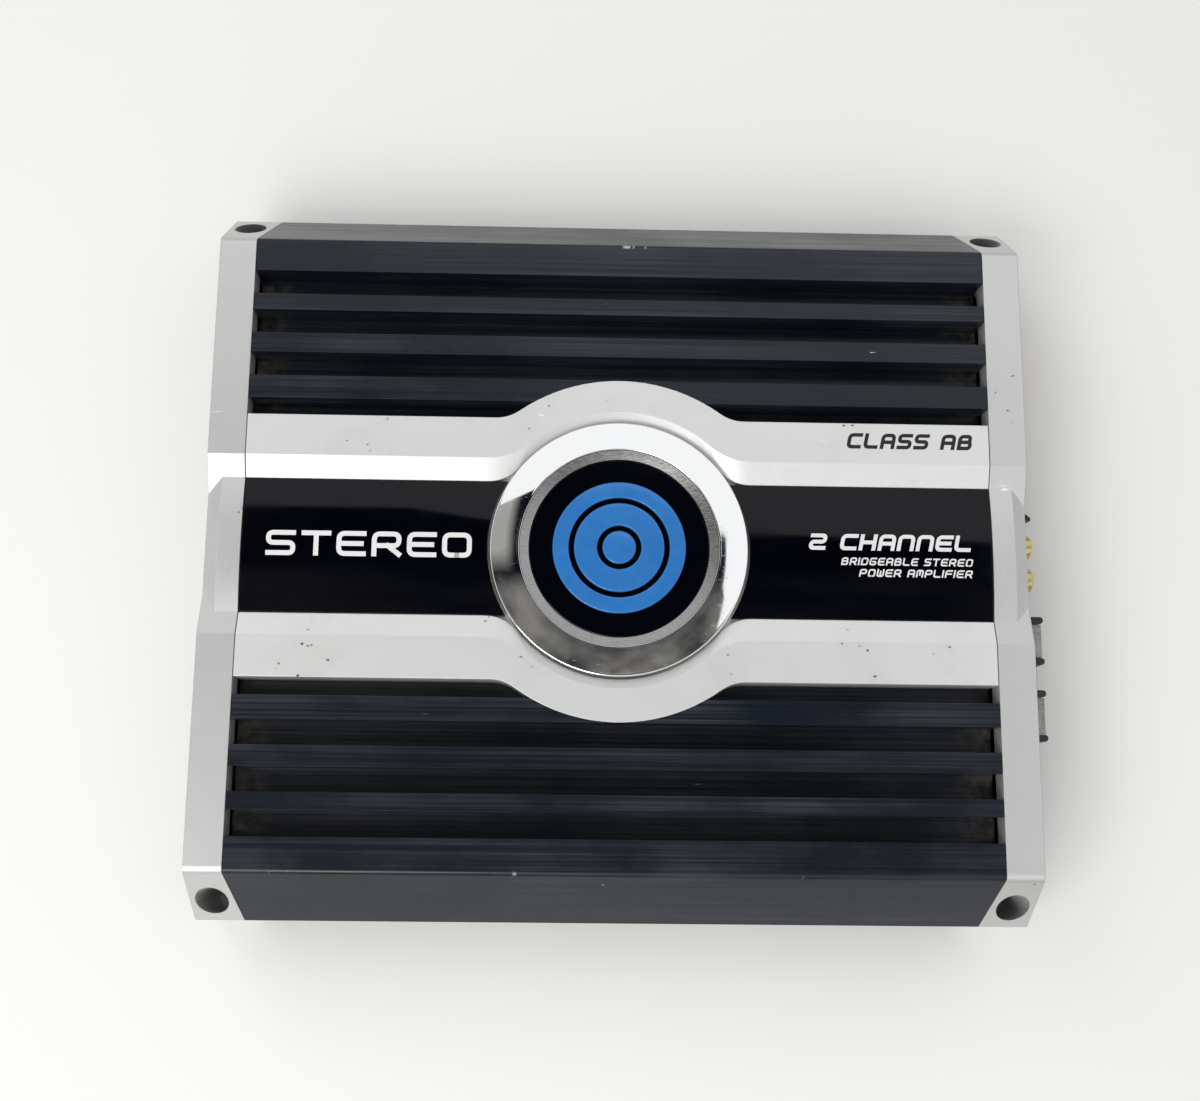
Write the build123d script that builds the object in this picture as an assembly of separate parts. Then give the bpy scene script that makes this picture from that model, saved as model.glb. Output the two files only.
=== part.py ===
# Two-channel car amplifier: finned aluminium case, painted end caps, trim with badge,
# connector end with fuses, knobs, line jacks and screw terminals, and the electronics inside.
# Millimetres. X runs along the case, Y across its depth, Z up.
# The origin is the centre of the four mounting holes, on the surface the case stands on.
from build123d import *
import os
from math import cos, pi, sin

# ---- Driving dimensions: case ----
TOP = 55.0                # height of the fin tops
HALF_DEPTH = 127.0        # half the depth of the case, a 254 mm extrusion
SLOPE_TOP_Y = 110.5       # where the sloped shoulder leaves the top
SLOPE_FOOT_Z = 31.5       # where the shoulder meets the vertical side
CREASE_R = 3.5            # rounding of that crease on the end caps
EXTRUSION_CREASE_R = 2.0  # the same on the heatsink
PLATEAU_Y = 98.9          # inner edge of the flat shoulder top
SEAM_X = 130.0            # joint between heatsink and end cap, along the top
SEAM_FOOT_X = 126.0       # the same joint at the outer side
END_X = 143.0             # outer face of the end caps
SEAM_GAP = 0.15           # hairline gap at each side of the joint
FIN_DEPTH = 12.0          # depth of the grooves between fins
FINS = [(52.0, 60.1), (68.7, 75.8), (84.3, 90.2)]   # inner and outer face of each fin
DECK_THICKNESS = 4.0      # heatsink floor under the grooves
SIDE_WALL = 5.0           # heatsink side wall
CASE_FOOT_Z = 1.5         # underside of the heatsink walls and of the bottom plate
RAIL_Y = 105.5            # inner edge of the rails that carry plate and board
RAIL_TOP_Z = 9.0
SIDE_GROOVE_ZS = (10.0, 17.0, 24.0)   # decorative grooves along the vertical sides
SIDE_GROOVE = 1.6         # their width and depth

# ---- Trim, panels and badge ----
BAND_OUTER = (45.9, 60.0, 14.0)   # half width, radius of the round middle, blend radius
BAND_CREASE = (31.5, 48.5, 22.0)
BAND_INNER = (23.7, 45.2, 14.0)
FACET_DROP = 2.9          # how far the inner facet falls from crease to inner edge
VALLEY_Y = 18.0           # where the facet would end on the end caps
VALLEY_DROP = 5.0
CROWN_DROP = 0.9          # top of the crowned middle below the fin tops
BLOCK_CREASE_X = 138.0    # where the end cap's middle block starts to fall away
SEAT_Z = 49.6             # floor that carries panels and badge
RING_R = 44.6
BEVEL_R = 34.4
DISC_R = 31.2
RING_TOP_Z = 57.3
DISC_TOP_Z = 55.4
EMBLEM_TOP_Z = 56.6
EMBLEM_R = 23.0

# ---- Mounting ----
MOUNT_X = 135.6           # mounting hole centres
MOUNT_Y = 120.2
MOUNT_WELL = (5.6, 4.4)   # half sizes of the oval screw head well, along X and Y
MOUNT_HOLE_R = 2.6        # clearance for the mounting screw
FOOT_FLANGE = 3.0         # flange left under the screw head

# ---- Connector end ----
PANEL_FACE_X = 139.5      # outer face of the steel connector panel
PANEL_THICKNESS = 1.5
WINDOW_Y = 96.0           # half width of the window in the right end cap
WINDOW_Z = (9.0, 43.0)
POCKET_Y = 99.0           # half width of the pocket inside each end cap
POCKET_Z = (4.0, 46.0)
ROW_Z = 28.0              # centre line of jacks, knobs and switch
FIT = 0.3                 # clearance of a part in its panel cut-out
TOUCH = 0.05              # clearance of a shank or pin in its hole

BOARD_Z = RAIL_TOP_Z      # underside of the circuit board
BOARD_TOP_Z = BOARD_Z + 1.6
CEILING_Z = TOP - FIN_DEPTH - DECK_THICKNESS   # underside of the deck
HOUSING_TOP_Z = CEILING_Z - 0.3   # tallest connector housing under the deck

# ---- Fasteners ----
END_SCREW_R = 1.45
END_HEAD = 2.4
END_HEAD_R = 3.0
END_SCREWS = [(sx, sy * y, z) for sx in (-1, 1) for sy in (-1, 1) for y, z in ((104.7, 48.5), (109.7, 6.0))]
TRIM_SCREW_R = 1.45
SMALL_SCREW_R = 1.2
TRANSISTOR_XS = [-104.0 + 26.0 * i for i in range(9)]
CLAMP_SCREW_XS = [-91.0 + 52.0 * i for i in range(4)] + [117.0]
CLAMP_Z = 20.0

# ---- Terminal strips ----
SEPARATOR = 2.4           # thickness of the walls between power terminals
POWER_WALLS = [-20.4, -35.1, -46.5, -62.2]      # their centres
POWER_NAMES = ["ground", "remote", "battery"]
SPEAKER_FIRST = -66.4
SPEAKER_PITCH = 7.0
SPEAKER_SEPARATOR = 1.4
SPEAKER_WALLS = [SPEAKER_FIRST - SPEAKER_PITCH * i for i in range(5)]
SPEAKER_NAMES = ["left_plus", "left_minus", "right_minus", "right_plus"]
STRIP_FACE_X = 141.5      # face that the clamps press the wire against
STRIP_BACK_X = 122.0
POWER_Z = (18.0, 36.6)
SPEAKER_Z = (20.0, 34.0)
POWER_TIP_X = 152.0
SPEAKER_TIP_X = 149.5
SCREW_PITCH = 0.7         # thread pitch, so the clamp backs out this far in one turn
CLAMP_TRAVEL = 4.2        # six turns

# ---- Jacks, knobs, switch, lamps and fuses ----
JACK_YS = [-4.6, 7.6]
JACK_FLANGE_X = 143.4
JACK_TIP_X = 150.9
JACK_R = 4.15
JACK_BORE_R = 3.5
JACK_ROOT_R = 5.0         # collar of the shell, held in the housing
JACK_ROOT = 3.0           # how deep the collar sits behind the flange
PIN_BORE_R = 1.65         # takes the plug's 3.2 mm pin
SLEEVE_TIP_X = 149.7      # end of the insulating sleeve
CONTACT_R = 2.2
CONTACT_ROOT = 6.0        # how deep the contact sits behind the flange
CONTACT_TIP_X = 148.9
KNOBS = {"low_pass_knob": 30.5, "bass_knob": 43.5, "gain_knob": 56.5}
KNOB_R = 4.6
KNOB_TIP_X = 147.0
SHAFT_R = 3.0
SWITCH_Y = 18.6
SWITCH_TRAVEL = 2.4       # each way from the middle position
LAMP_Y = 67.0
LAMP_ZS = {"power_lamp": 33.0, "protect_lamp": 23.0}
LAMP_R = 1.5
FUSE_YS = {"a": 88.0, "b": 77.5}
FUSE_SIZE = (12.0, 5.0, 19.0)     # along X, Y, Z
FUSE_X0 = 136.5
FUSE_HOLDER_X = (118.0, 141.5)
PANEL_SCREW_Z = 14.4
PANEL_SCREW_YS = [1.5, -40.8, -80.4]

# ---- Electronics ----
TOROID = (-38.0, 0.0)
CAPACITORS = [(18.0, -22.0), (18.0, 0.0), (18.0, 22.0), (-78.0, -14.0), (-78.0, 14.0)]
CAPACITOR_R = 8.0
CAPACITOR_H = 25.0
INDUCTORS = [(62.0, -40.0), (62.0, 40.0)]
CHIPS = [(48.0, 4.0, 0), (84.0, -18.0, 90), (84.0, 18.0, 90), (-8.0, 50.0, 0), (-8.0, -50.0, 0)]


# ---- Helpers ----
def block(xs, ys, zs):
    """Box from its ranges along X, Y and Z."""
    size = [hi - lo for lo, hi in (xs, ys, zs)]
    centre = [(hi + lo) / 2 for lo, hi in (xs, ys, zs)]
    return Pos(*centre) * Box(*size)


def rod_x(y, z, x0, x1, radius):
    """Cylinder along X from x0 to x1."""
    return Pos((x0 + x1) / 2, y, z) * Rot(0, 90, 0) * Cylinder(radius, x1 - x0)


def rod_y(x, z, y0, y1, radius):
    """Cylinder along Y from y0 to y1."""
    return Pos(x, (y0 + y1) / 2, z) * Rot(90, 0, 0) * Cylinder(radius, y1 - y0)


def rod_z(x, y, z0, z1, radius):
    """Cylinder along Z from z0 to z1."""
    return Pos(x, y, (z0 + z1) / 2) * Cylinder(radius, z1 - z0)


def tube_x(y, z, x0, x1, outer, inner):
    """Tube along X."""
    return rod_x(y, z, x0, x1, outer) - rod_x(y, z, x0 - 1, x1 + 1, inner)


def across(points):
    """Closed YZ outline from its right half, mirrored about Y = 0."""
    left = [(-y, z) for y, z in reversed(points) if y > 0]
    return make_face(Plane.YZ * Polyline(*(points + left), close=True))


def along_x(face, x0, x1):
    """A YZ face carried from x0 to x1."""
    return Pos(x0, 0, 0) * extrude(face, x1 - x0, dir=(1, 0, 0))


def turned(points, x=0.0, y=0.0):
    """Solid of revolution about a vertical axis, from its (radius, z) outline."""
    return Pos(x, y, 0) * revolve(make_face(Plane.XZ * Polyline(*points, close=True)), Axis.Z)


def mirrored_pairs(x, y):
    """The four mirror images of a plan position."""
    return [(sx * x, sy * y) for sx in (-1, 1) for sy in (-1, 1)]


def solids_of(shapes):
    """One compound of every solid in a list of shapes."""
    return Compound(children=[solid for shape in shapes for solid in shape.solids()])


# ---- Fastener places ----
TRIM_SCREWS = mirrored_pairs(88.0, 35.0)
PLATE_SCREWS = mirrored_pairs(118.0, 117.0) + mirrored_pairs(40.0, 117.0)
BOARD_SCREWS = mirrored_pairs(104.0, 109.0) + [(0.0, 109.0), (0.0, -109.0)]


# ---- Outlines of the case ----
def shoulder_points(foot_z):
    """Right side of the case outline from the plateau edge down to the foot."""
    return [(SLOPE_TOP_Y, TOP), (HALF_DEPTH, SLOPE_FOOT_Z), (HALF_DEPTH, foot_z)]


def corner_wedge(sx, sy, clearance):
    """Plan wedge where the end cap wraps over the corner of the case."""
    far = HALF_DEPTH + 5
    plan = [
        (SEAM_X + clearance, SLOPE_TOP_Y), (SEAM_FOOT_X + clearance, HALF_DEPTH),
        (SEAM_FOOT_X + clearance, far), (END_X, far), (END_X, SLOPE_TOP_Y),
    ]
    outline = Polyline(*[(sx * x, sy * y) for x, y in plan], close=True)
    return extrude(make_face(outline), TOP + 5)


def crease_edges(body):
    """The two long edges where the top turns down into the shoulders."""
    return body.edges().filter_by(
        lambda e: abs(abs(e.center().Y) - SLOPE_TOP_Y) < 0.01 and abs(e.center().Z - TOP) < 0.01
    )


def make_heatsink():
    """Finned extrusion, open underneath, with rails for the board and the plate."""
    deck = TOP - FIN_DEPTH
    points = [(0, deck)]
    for inner, outer in FINS:
        points += [(inner, deck), (inner, TOP), (outer, TOP), (outer, deck)]
    points += [(PLATEAU_Y, deck), (PLATEAU_Y, TOP)] + shoulder_points(CASE_FOOT_Z)
    inner_y = HALF_DEPTH - SIDE_WALL
    points += [
        (inner_y, CASE_FOOT_Z), (inner_y, CASE_FOOT_Z + 1.5), (RAIL_Y, CASE_FOOT_Z + 1.5),
        (RAIL_Y, RAIL_TOP_Z), (inner_y, RAIL_TOP_Z), (inner_y, 27.0), (113.0, CEILING_Z), (0, CEILING_Z),
    ]
    length = SEAM_X - SEAM_GAP
    body = along_x(across(points), -length, length)
    body = fillet(crease_edges(body), EXTRUSION_CREASE_R)
    body -= rod_z(0, 0, deck, TOP + 1, BAND_OUTER[1] + SEAM_GAP)
    for x, y in mirrored_pairs(1, 1):
        body -= corner_wedge(x, y, -SEAM_GAP)
    for sy in (-1, 1):
        for z in SIDE_GROOVE_ZS:
            y = sy * HALF_DEPTH
            body -= block((-length, length), (y - SIDE_GROOVE, y + SIDE_GROOVE), (z, z + SIDE_GROOVE))
    for sx, y, z in END_SCREWS:
        body -= rod_x(y, z, sx * SEAM_X - 16, sx * SEAM_X + 16, END_SCREW_R + TOUCH)
    for x, y in TRIM_SCREWS:
        body -= rod_z(x, y, CEILING_Z - 1, deck + 1, TRIM_SCREW_R + TOUCH)
    for x, y in PLATE_SCREWS:
        body -= rod_z(x, y, 0, RAIL_TOP_Z - 1.5, SMALL_SCREW_R + TOUCH)
    for x, y in BOARD_SCREWS:
        body -= rod_z(x, y, RAIL_TOP_Z - 5.5, RAIL_TOP_Z + 1, SMALL_SCREW_R + TOUCH)
    for sy in (-1, 1):
        for x in CLAMP_SCREW_XS:
            y0, y1 = sorted((sy * (inner_y - 1), sy * (inner_y + 3.5)))
            body -= rod_y(x, CLAMP_Z, y0, y1, SMALL_SCREW_R + TOUCH)
    return body


# ---- End caps ----
def crown_face(half_width, drop_edge, drop_middle, base_z):
    """YZ face with a crowned top."""
    left = (-half_width, TOP - drop_edge)
    right = (half_width, TOP - drop_edge)
    arc = ThreePointArc(left, (0, TOP - drop_middle), right)
    foot = Polyline(right, (half_width, base_z), (-half_width, base_z), left)
    return Plane.YZ * make_face([arc, foot])


def make_end_cap(sx, window):
    """Moulded end cap: case outline with the band, facets and a crowned middle block."""
    points = [(0, TOP - VALLEY_DROP), (VALLEY_Y, TOP - VALLEY_DROP), (BAND_CREASE[0], TOP)]
    points += shoulder_points(0.0) + [(0, 0)]
    inner_x = SEAM_FOOT_X - 1
    cap = along_x(across(points), inner_x, END_X)
    keep = [
        (SEAM_X + SEAM_GAP, -SLOPE_TOP_Y), (SEAM_FOOT_X + SEAM_GAP, -HALF_DEPTH), (END_X, -HALF_DEPTH),
        (END_X, HALF_DEPTH), (SEAM_FOOT_X + SEAM_GAP, HALF_DEPTH), (SEAM_X + SEAM_GAP, SLOPE_TOP_Y),
    ]
    cap = fillet(crease_edges(cap), CREASE_R)
    cap &= extrude(make_face(Polyline(*keep, close=True)), TOP + 5)
    low = TOP - 8
    top_face = crown_face(BAND_INNER[0], FACET_DROP, CROWN_DROP, low)
    end_face = crown_face(VALLEY_Y, VALLEY_DROP, VALLEY_DROP - 0.2, low)
    cap += along_x(top_face, SEAM_X + SEAM_GAP, BLOCK_CREASE_X)
    cap += loft([Pos(BLOCK_CREASE_X, 0, 0) * top_face, Pos(END_X, 0, 0) * end_face], ruled=True)
    cap -= block((inner_x, PANEL_FACE_X), (-POCKET_Y, POCKET_Y), POCKET_Z)
    if window:
        cap -= block((PANEL_FACE_X - 1, END_X + 1), (-WINDOW_Y, WINDOW_Y), WINDOW_Z)
    for y in (-MOUNT_Y, MOUNT_Y):
        cap -= Pos(MOUNT_X, y, FOOT_FLANGE) * extrude(Ellipse(*MOUNT_WELL), TOP)
        cap -= rod_z(MOUNT_X, y, -1, FOOT_FLANGE + 1, MOUNT_HOLE_R)
    for side, y, z in END_SCREWS:
        if side > 0:
            cap -= rod_x(y, z, inner_x - 1, END_X + 1, END_SCREW_R + TOUCH)
            cap -= rod_x(y, z, END_X - END_HEAD - 0.4, END_X + 1, END_HEAD_R + 0.3)
    return cap if sx > 0 else mirror(cap, Plane.YZ)


# ---- Trim cover, gloss panels and badge ----
def waisted(half_width, round_r, blend_r, half_length):
    """Plan outline: a straight strip with a round middle, blended at the four joints."""
    shape = Rectangle(2 * half_length, 2 * half_width) + Circle(round_r)
    joints = shape.vertices().filter_by(lambda v: abs(v.X) < half_length - 1)
    return fillet(joints, blend_r)


def make_trim_cover():
    """Painted cover: two bands with a round middle, ribbed underneath, with a seat for the badge."""
    length = SEAM_X - SEAM_GAP
    deck = TOP - FIN_DEPTH
    cover = Pos(0, 0, deck) * extrude(waisted(*BAND_OUTER, length), FIN_DEPTH)
    beyond = length + 10
    crease = Pos(0, 0, TOP) * waisted(*BAND_CREASE, beyond)
    inner = Pos(0, 0, TOP - FACET_DROP) * waisted(*BAND_INNER, beyond)
    cover -= loft([inner, crease], ruled=True)
    cover -= Pos(0, 0, SEAT_Z) * extrude(waisted(*BAND_INNER, beyond), FIN_DEPTH)
    seat_wall = 2.0
    for sx in (-1, 1):
        for x0, x1 in ((52.0, 84.0), (92.0, 126.5)):
            xs = sorted((sx * x0, sx * x1))
            cover -= block(xs, (-21.5, 21.5), (deck - 1, SEAT_Z - seat_wall))
            for sy in (-1, 1):
                cover -= block(xs, sorted((sy * 26.5, sy * 43.4)), (deck - 1, TOP - 4.5))
    cover -= rod_z(0, 0, deck - 1, SEAT_Z - seat_wall, 41.0)
    for x, y in TRIM_SCREWS:
        cover -= rod_z(x, y, deck - 1, TOP - 3.6, TRIM_SCREW_R + TOUCH)
    return cover


def make_gloss_panel(sx):
    """Crowned black insert between the bands, from the badge to the end cap."""
    gap = 0.3
    length = SEAM_X - SEAM_GAP - 0.1
    inner = (BAND_INNER[0] - gap, BAND_INNER[1] - gap, BAND_INNER[2] + gap)
    plan = waisted(*inner, length) - Circle(BAND_INNER[1] + gap)
    plan &= Pos(sx * SEAM_X / 2, 0) * Rectangle(SEAM_X, 2 * BAND_INNER[0])
    body = Pos(0, 0, SEAT_Z) * extrude(plan, FIN_DEPTH)
    crown = crown_face(BAND_INNER[0], FACET_DROP + 0.2, CROWN_DROP + 0.2, SEAT_Z - 2)
    return body & along_x(crown, -SEAM_X, SEAM_X)


def make_chrome_ring():
    """Plated ring with a crowned face, seated in the trim."""
    rise = 0.5
    return turned([
        (BEVEL_R, SEAT_Z), (RING_R, SEAT_Z), (RING_R, RING_TOP_Z - 1.4), (RING_R - 0.7, RING_TOP_Z - rise),
        (40.5, RING_TOP_Z - 0.1), (38.0, RING_TOP_Z), (BEVEL_R + 0.6, RING_TOP_Z - 0.2),
        (BEVEL_R, RING_TOP_Z - rise),
    ])


def make_badge_carrier():
    """Brushed dish inside the ring: a sloped rim around a recess for the disc."""
    rim = BEVEL_R - TOUCH
    return turned([
        (0, SEAT_Z), (rim, SEAT_Z), (rim, RING_TOP_Z - 0.7), (DISC_R + TOUCH, DISC_TOP_Z + 0.1),
        (DISC_R + TOUCH, DISC_TOP_Z - 1.6), (0, DISC_TOP_Z - 1.6),
    ])


def make_badge_disc():
    """Gloss black disc."""
    return turned([
        (0, DISC_TOP_Z - 1.6), (DISC_R, DISC_TOP_Z - 1.6), (DISC_R, DISC_TOP_Z - 0.3),
        (DISC_R - 0.3, DISC_TOP_Z), (0, DISC_TOP_Z),
    ])


def make_badge_emblem():
    """Raised enamel motif of a loudspeaker: surround, cone and dust cap."""
    edge = 0.5
    rings = []
    for inner, outer in ((17.4, EMBLEM_R), (7.6, 15.6)):
        rings.append(turned([
            (inner, DISC_TOP_Z), (outer, DISC_TOP_Z), (outer, EMBLEM_TOP_Z - edge),
            (outer - edge, EMBLEM_TOP_Z), (inner + edge, EMBLEM_TOP_Z), (inner, EMBLEM_TOP_Z - edge),
        ]))
    cap_r = 5.8
    rings.append(turned([(0, DISC_TOP_Z), (cap_r, DISC_TOP_Z), (cap_r, EMBLEM_TOP_Z - edge),
                         (cap_r - edge, EMBLEM_TOP_Z), (0, EMBLEM_TOP_Z + 0.2)]))
    return solids_of(rings)


# ---- Bottom plate and fasteners ----
def pan_screw(radius, head_r, head, length):
    """Pan head screw pointing down, the underside of its head at the origin, with a cross recess."""
    screw = turned([
        (0, -length), (radius, -length), (radius, 0), (head_r, 0), (head_r, head * 0.45),
        (head_r * 0.7, head * 0.85), (head_r * 0.3, head), (0, head),
    ])
    slot = 0.22 * head_r
    for angle in (0, 90):
        screw -= Pos(0, 0, head) * Rot(0, 0, angle) * Box(head_r, slot, head)
    return screw


def make_bottom_plate():
    """Steel plate between the heatsink walls, with a stiffening swage."""
    half_x = SEAM_X - FIT
    half_y = HALF_DEPTH - SIDE_WALL - FIT
    top = CASE_FOOT_Z + 1.5
    plate = block((-half_x, half_x), (-half_y, half_y), (CASE_FOOT_Z, top))
    for x, y in mirrored_pairs(1, 1):
        plate -= corner_wedge(x, y, -FIT)
    for y in (-60.0, 0.0, 60.0):
        plate -= block((-100, 100), (y - 4, y + 4), (CASE_FOOT_Z - 1, CASE_FOOT_Z + 0.5))
    for x, y in PLATE_SCREWS:
        plate -= rod_z(x, y, 0, top + 1, SMALL_SCREW_R + 0.3)
    return plate


def make_plate_screws():
    screw = pan_screw(SMALL_SCREW_R, 2.3, 1.1, 6.0)
    return solids_of([Pos(x, y, CASE_FOOT_Z) * Rot(180, 0, 0) * screw for x, y in PLATE_SCREWS])


def make_end_screws():
    screw = pan_screw(END_SCREW_R, END_HEAD_R, END_HEAD, 24.0)
    places = [Pos(sx * (END_X - END_HEAD - 0.4), y, z) * Rot(0, sx * 90, 0) for sx, y, z in END_SCREWS]
    return solids_of([place * screw for place in places])


def make_trim_screws():
    screw = pan_screw(TRIM_SCREW_R, 2.9, 2.0, 11.5)
    return solids_of([Pos(x, y, CEILING_Z) * Rot(180, 0, 0) * screw for x, y in TRIM_SCREWS])


def make_board_screws():
    screw = pan_screw(SMALL_SCREW_R, 2.4, 1.6, 6.8)
    return solids_of([Pos(x, y, BOARD_TOP_Z) * screw for x, y in BOARD_SCREWS])


# ---- Connector end: shared terminal strip ----
def make_terminal_strip(walls, thickness, zs, tip_x):
    """Moulded strip through the panel, with a wall each side of every terminal."""
    y0 = min(walls) - thickness / 2
    y1 = max(walls) + thickness / 2
    strip = block((STRIP_BACK_X, STRIP_FACE_X), (y0, y1), zs)
    back = PANEL_FACE_X - PANEL_THICKNESS - TOUCH
    strip += block((STRIP_BACK_X, back), (y0, y1), (BOARD_TOP_Z, zs[1]))
    strip -= rod_x(PANEL_SCREW_YS[1], PANEL_SCREW_Z, 126.0, back + 1, SMALL_SCREW_R + TOUCH)
    strip -= rod_x(PANEL_SCREW_YS[2], PANEL_SCREW_Z, 126.0, back + 1, SMALL_SCREW_R + TOUCH)
    round_r = thickness * 0.49
    for y in walls:
        wall = block((STRIP_FACE_X, tip_x), (y - thickness / 2, y + thickness / 2), zs)
        tip_edges = wall.edges().filter_by(Axis.Z).sort_by(Axis.X)[-2:]
        strip += fillet(tip_edges, round_r)
    mid_z = (zs[0] + zs[1]) / 2
    for a, b in zip(walls, walls[1:]):
        strip -= rod_x((a + b) / 2, mid_z, STRIP_BACK_X + 4, tip_x, terminal_shank(a, b) + TOUCH)
    return strip


def terminal_shank(a, b):
    """Screw shank radius that suits the width of a terminal."""
    return 2.0 if abs(a - b) > 11 else 1.5


def make_clamp(a, b, thickness, zs, depth):
    """Channel shaped clamp plate: a web against the wire and a flange above and below."""
    half = (abs(a - b) - thickness) / 2 - FIT
    mid_y = (a + b) / 2
    web = 1.4
    x0 = STRIP_FACE_X + 0.1
    lo, hi = zs[0] + 0.8, zs[1] - 0.8
    clamp = block((x0, x0 + web), (mid_y - half, mid_y + half), (lo, hi))
    for z in (lo, hi - web):
        clamp += block((x0, x0 + depth), (mid_y - half, mid_y + half), (z, z + web))
    return clamp - rod_x(mid_y, (zs[0] + zs[1]) / 2, x0 - 1, x0 + depth, terminal_shank(a, b) + TOUCH)


def make_terminal_screw(a, b, thickness, zs):
    """Binding screw with a domed, slotted head."""
    shank = terminal_shank(a, b)
    half = (abs(a - b) - thickness) / 2
    head_r = min(half - 0.9, shank * 2.1)
    head = shank * 1.5
    screw = turned([
        (0, -15.0), (shank, -15.0), (shank, 0), (head_r, 0), (head_r, head * 0.6),
        (head_r * 0.6, head * 0.95), (0, head),
    ])
    screw -= Pos(0, 0, head) * Box(2.5 * head_r, 0.9, head * 0.9)
    screw -= Pos(0, 0, head) * Box(0.9, 1.2 * head_r, head * 0.9)
    x = STRIP_FACE_X + 0.1 + 1.4 + 0.02
    return Pos(x, (a + b) / 2, (zs[0] + zs[1]) / 2) * Rot(0, 90, 0) * screw


# ---- Connector end: jacks, knobs, switch, lamps, fuses ----
def make_rca_block():
    """Moulded housing of the two line jacks, with an insulating sleeve inside each shell."""
    lo, hi = JACK_YS[0] - 7.0, JACK_YS[1] + 7.0
    back = PANEL_FACE_X - PANEL_THICKNESS
    body = block((118.0, back - TOUCH), (lo, hi), (BOARD_TOP_Z, HOUSING_TOP_Z))
    body += block((back - 1, JACK_FLANGE_X), (lo + 1, hi - 1), (ROW_Z - 7, ROW_Z + 7))
    body -= rod_x(PANEL_SCREW_YS[0], PANEL_SCREW_Z, 126.0, back, SMALL_SCREW_R + TOUCH)
    for y in JACK_YS:
        body -= rod_x(y, ROW_Z, JACK_FLANGE_X - JACK_ROOT, JACK_FLANGE_X + 1, JACK_ROOT_R + TOUCH)
        body += tube_x(y, ROW_Z, JACK_FLANGE_X - JACK_ROOT - 1, SLEEVE_TIP_X, JACK_BORE_R - TOUCH, CONTACT_R)
        body -= rod_x(y, ROW_Z, JACK_FLANGE_X - CONTACT_ROOT, JACK_TIP_X, CONTACT_R)
    return body


def make_rca_shells():
    shells = []
    for y in JACK_YS:
        shell = tube_x(y, ROW_Z, JACK_FLANGE_X - 1, JACK_TIP_X, JACK_R, JACK_BORE_R)
        shell += tube_x(y, ROW_Z, JACK_FLANGE_X - JACK_ROOT + TOUCH, JACK_FLANGE_X, JACK_ROOT_R, JACK_BORE_R)
        rim = shell.faces().sort_by(Axis.X)[-1].outer_wire().edges()
        shells.append(chamfer(rim, 0.5))
    return solids_of(shells)


def make_rca_contacts():
    return solids_of([
        tube_x(y, ROW_Z, JACK_FLANGE_X - CONTACT_ROOT + TOUCH, CONTACT_TIP_X, CONTACT_R - TOUCH, PIN_BORE_R)
        for y in JACK_YS
    ])


def make_knob(y):
    """Fluted knob with a pointer slot, on its shaft."""
    knob = rod_x(y, ROW_Z, PANEL_FACE_X + 0.4, KNOB_TIP_X, KNOB_R)
    knob = chamfer(knob.faces().sort_by(Axis.X)[-1].edges(), 0.5)
    flutes = 18
    for i in range(flutes):
        angle = 2 * pi * (i + 0.5) / flutes
        fy = y + (KNOB_R + 0.25) * cos(angle)
        fz = ROW_Z + (KNOB_R + 0.25) * sin(angle)
        knob -= rod_x(fy, fz, PANEL_FACE_X + 1.6, KNOB_TIP_X + 1, 0.55)
    knob -= block((KNOB_TIP_X - 0.8, KNOB_TIP_X + 1), (y - 0.5, y + 0.5), (ROW_Z, ROW_Z + KNOB_R))
    return knob + rod_x(y, ROW_Z, 131.0, PANEL_FACE_X + 1, SHAFT_R)


def make_potentiometers():
    bodies = []
    for y in KNOBS.values():
        body = block((124.0, 136.0), (y - 5.4, y + 5.4), (BOARD_TOP_Z, ROW_Z + 6.0))
        body += rod_x(y, ROW_Z, 135.0, 137.9, 4.6)
        bodies.append(body - rod_x(y, ROW_Z, 130.9, 140.0, SHAFT_R + TOUCH))
    return solids_of(bodies)


def make_switch_body():
    body = block((128.0, 137.9), (SWITCH_Y - 2.9, SWITCH_Y + 2.9), (BOARD_TOP_Z, ROW_Z + 7.5))
    reach = 2.0 + SWITCH_TRAVEL + 0.2
    return body - block((133.0, 140.0), (SWITCH_Y - 1.3, SWITCH_Y + 1.3), (ROW_Z - reach, ROW_Z + reach))


def make_switch_lever():
    """Slider with a slanted tip, for the crossover switch."""
    lever = block((133.3, 151.2), (SWITCH_Y - 1.2, SWITCH_Y + 1.2), (ROW_Z - 2, ROW_Z + 2))
    plan = [(149.4, SWITCH_Y + 1.3), (151.3, SWITCH_Y + 1.3), (151.3, SWITCH_Y - 0.2)]
    return lever - extrude(make_face(Polyline(*plan, close=True)), TOP)


def make_lamp(z):
    """Round lens with a domed tip and a collar behind the panel."""
    collar = (127.0, 128.5)
    tip_x = PANEL_FACE_X + 0.4
    lamp = rod_x(LAMP_Y, z, collar[0], tip_x, LAMP_R)
    lamp += Pos(tip_x, LAMP_Y, z) * Sphere(LAMP_R - 0.01)
    return lamp + rod_x(LAMP_Y, z, *collar, LAMP_R + 0.4)


def make_fuse_holder():
    """Housing with two sockets, through the panel."""
    ys = (min(FUSE_YS.values()) - 4.6, max(FUSE_YS.values()) + 4.6)
    holder = block(FUSE_HOLDER_X, ys, (BOARD_TOP_Z + 3, HOUSING_TOP_Z))
    for y in FUSE_YS.values():
        holder -= block((FUSE_X0 - FIT, FUSE_HOLDER_X[1] + 1), (y - 2.8, y + 2.8), (ROW_Z - 9.8, ROW_Z + 9.8))
        for sz in (-1, 1):
            z = ROW_Z + sz * 6.0
            holder -= block((FUSE_X0 - 8.5, FUSE_X0), (y - 0.6, y + 0.6), (z - 2.9, z + 2.9))
    return holder


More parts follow.
